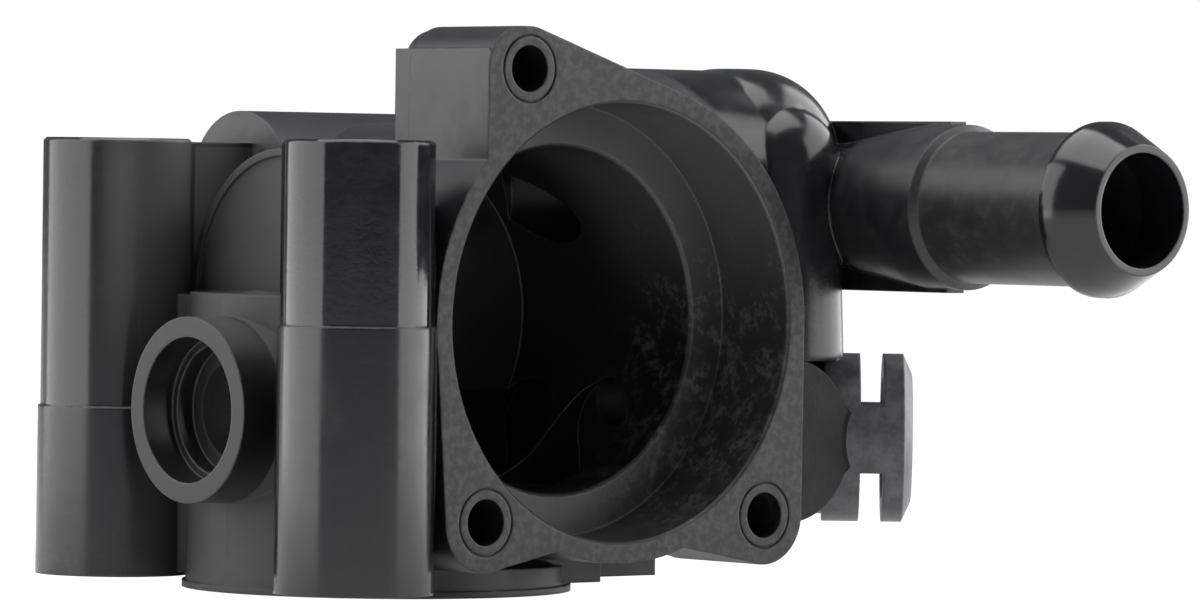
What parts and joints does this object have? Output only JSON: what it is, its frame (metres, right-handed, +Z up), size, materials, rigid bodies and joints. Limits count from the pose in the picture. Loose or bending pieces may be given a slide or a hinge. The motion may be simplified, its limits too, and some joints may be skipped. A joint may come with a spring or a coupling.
{
  "type": "engine coolant housing",
  "caption": "Moulded plastic coolant housing with a flanged round mouth, upright bolt columns, a sensor port, a beaded hose pipe and a slotted side spigot.",
  "frame": {"origin": "centre of the coolant inlet on the mounting face at the bottom", "axes": "+Z up along the bolt columns, -Y out of the flanged mouth, -X toward the sensor port; the hose pipe runs to -Y on the +X side"},
  "size_m": [0.1089, 0.1155, 0.0733],
  "materials": {
    "plastic": "black glass-filled moulding, satin"
  },
  "bodies": {
    "root": {"housing": "plastic"}
  },
  "joints": []
}
